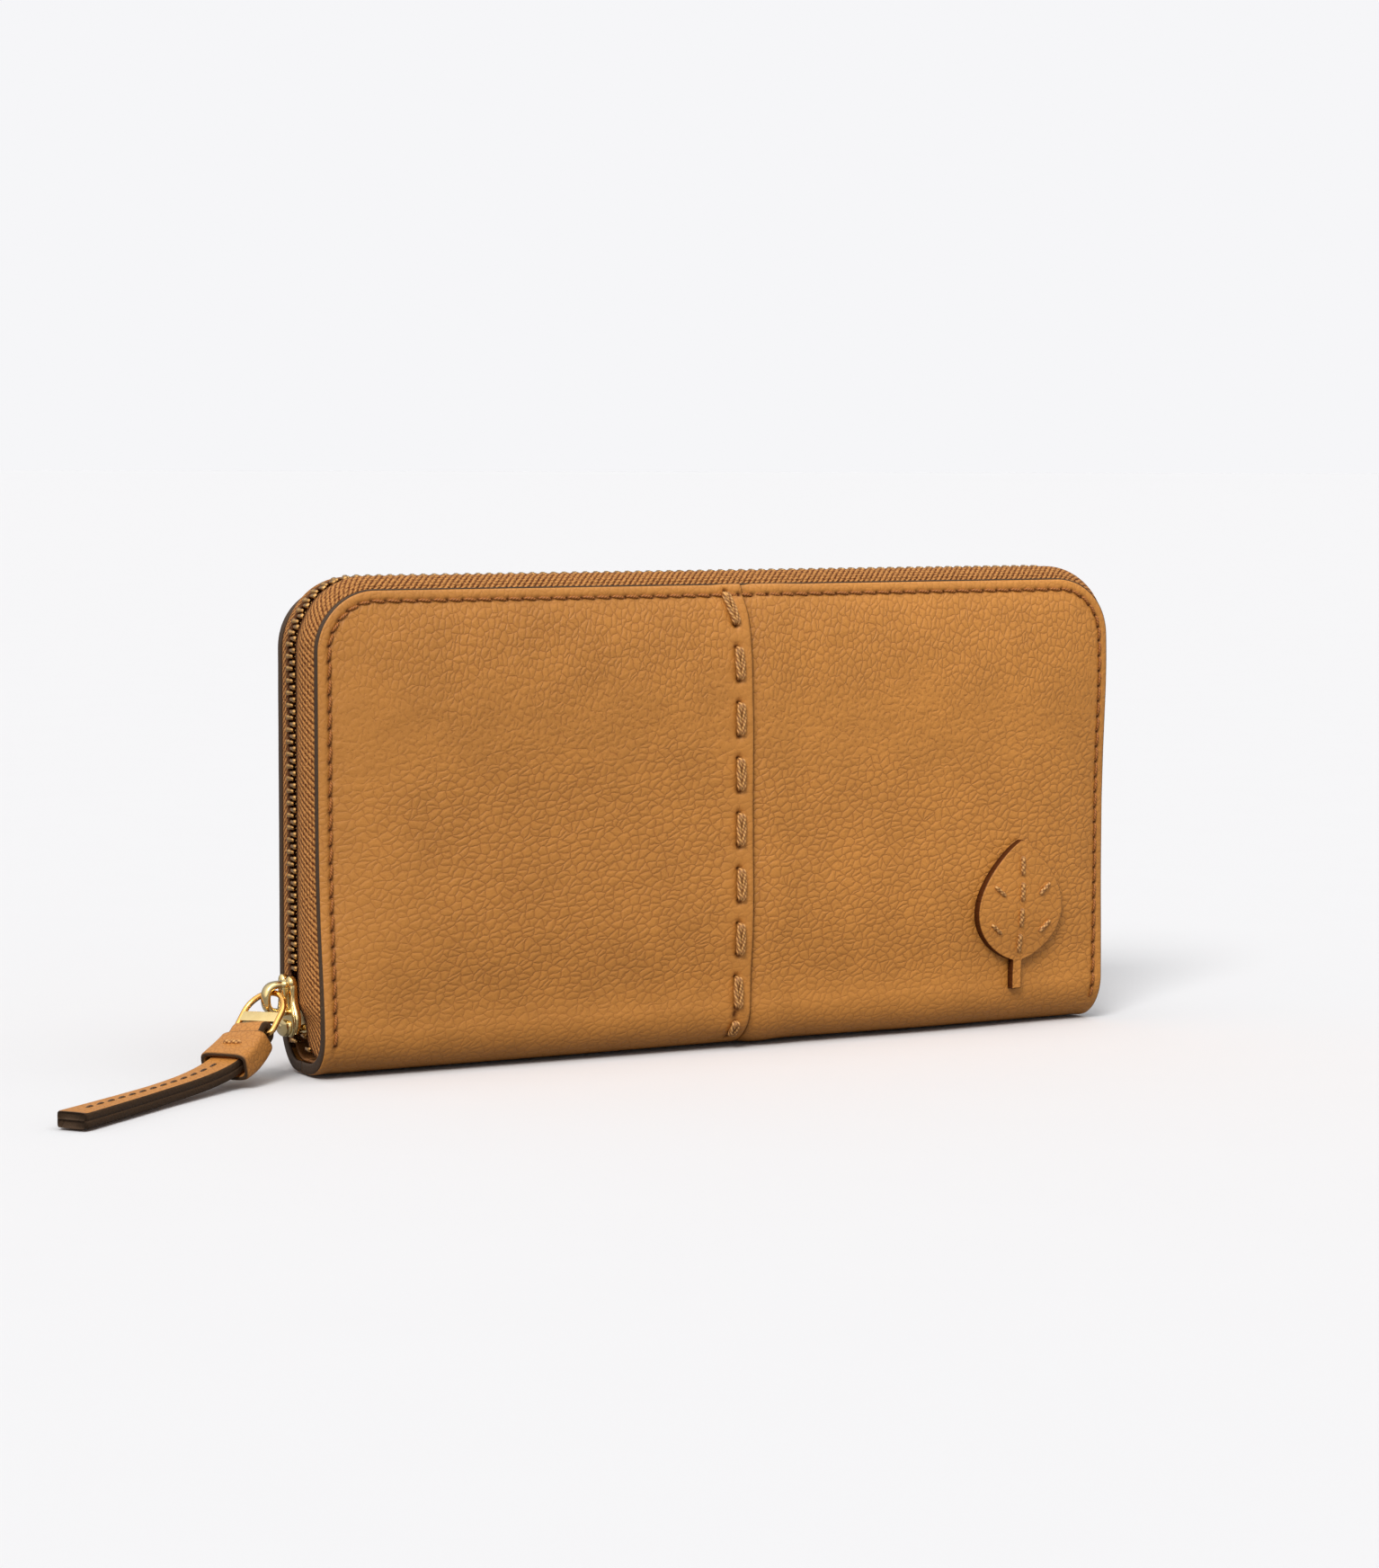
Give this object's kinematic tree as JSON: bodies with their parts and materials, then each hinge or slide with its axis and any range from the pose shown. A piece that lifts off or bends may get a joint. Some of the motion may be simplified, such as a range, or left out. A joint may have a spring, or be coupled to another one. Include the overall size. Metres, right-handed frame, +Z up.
{
  "type": "long zip-around wallet",
  "caption": "Long leather wallet on its folded spine, closed round three sides by a metal zip with a ring and strap pull; it opens on card pockets and a zipped coin pocket.",
  "frame": {"origin": "on the ground under the spine, midway along the wallet's length and on the mid-plane between the covers", "axes": "+X to the wallet's right as the front is seen, +Y from the front cover to the back cover, +Z up from the spine to the zip"},
  "size_m": [0.2575, 0.0579, 0.1033],
  "materials": {
    "leather": "pebbled grain, soft satin, dark painted cut edges",
    "lining": "fine smooth grain, matte",
    "board": "raw fibre board",
    "tape": "woven zip tape",
    "coil": "moulded coil",
    "gold": "polished pale gold plate"
  },
  "bodies": {
    "back_cover": {"back_left_leather": "leather", "back_right_leather": "leather", "back_stiffener": "board", "back_lining": "lining", "back_seam_backing": "tape", "spine_lining": "lining", "back_card_pocket_1": "lining", "back_card_pocket_2": "lining", "back_card_pocket_3": "lining", "back_card_pocket_4": "lining", "rear_left_gusset": "lining", "rear_right_gusset": "lining", "back_zip_tape": "tape", "back_zip_teeth": "gold", "zip_end_stop": "gold"},
    "front_cover": {"front_left_leather": "leather", "front_right_leather": "leather", "front_stiffener": "board", "front_lining": "lining", "front_seam_backing": "tape", "front_card_pocket_1": "lining", "front_card_pocket_2": "lining", "front_card_pocket_3": "lining", "front_card_pocket_4": "lining", "front_left_gusset": "lining", "front_right_gusset": "lining", "front_zip_tape": "tape", "front_zip_teeth": "gold", "leaf_ornament": "leather"},
    "coin_pocket": {"coin_pocket_front_wall": "lining", "coin_pocket_rear_wall": "lining", "coin_pocket_edge_strip": "lining", "coin_zip_tape_front": "tape", "coin_zip_tape_rear": "tape", "coin_zip_coil_front": "coil", "coin_zip_coil_rear": "coil"},
    "zip_slider": {"slider_body": "gold", "slider_bridge": "gold"},
    "pull_ring": {"pull_ring": "gold"},
    "pull_strap": {"pull_strap": "leather", "strap_keeper": "leather"},
    "coin_slider": {"coin_slider": "gold"},
    "coin_tab": {"coin_zip_tab": "gold"}
  },
  "joints": [
    {"name": "cover_open", "type": "hinge", "parent": "back_cover", "child": "front_cover", "pos_m": [0, -0.0132, 0.007], "axis": [1, 0, 0], "range_deg": [0, 50]},
    {"name": "pocket_swing", "type": "hinge", "parent": "back_cover", "child": "coin_pocket", "pos_m": [0, -0.0132, 0.007], "axis": [1, 0, 0], "range_deg": [0, 25]},
    {"name": "slider_run", "type": "slide", "parent": "back_cover", "child": "zip_slider", "axis": [0, 0, 1], "range_m": [0, 0.066]},
    {"name": "ring_swing", "type": "hinge", "parent": "zip_slider", "child": "pull_ring", "pos_m": [-0.10095, 0, 0.017], "axis": [0, 1, 0], "range_deg": [-15, 50]},
    {"name": "strap_swing", "type": "hinge", "parent": "pull_ring", "child": "pull_strap", "pos_m": [-0.10669, -0.00318, 0.00958], "axis": [0.4259, -0.9029, 0.0578], "range_deg": [-45, 25]},
    {"name": "coin_slider_run", "type": "slide", "parent": "coin_pocket", "child": "coin_slider", "axis": [-1, 0, 0], "range_m": [0, 0.152]},
    {"name": "coin_tab_swing", "type": "hinge", "parent": "coin_slider", "child": "coin_tab", "pos_m": [0.0756, 0, 0.0815], "axis": [0, 1, 0], "range_deg": [0, 90]}
  ],
  "couplings": [
    {"joint": "pocket_swing", "follows": "cover_open", "ratio": 0.5}
  ]
}
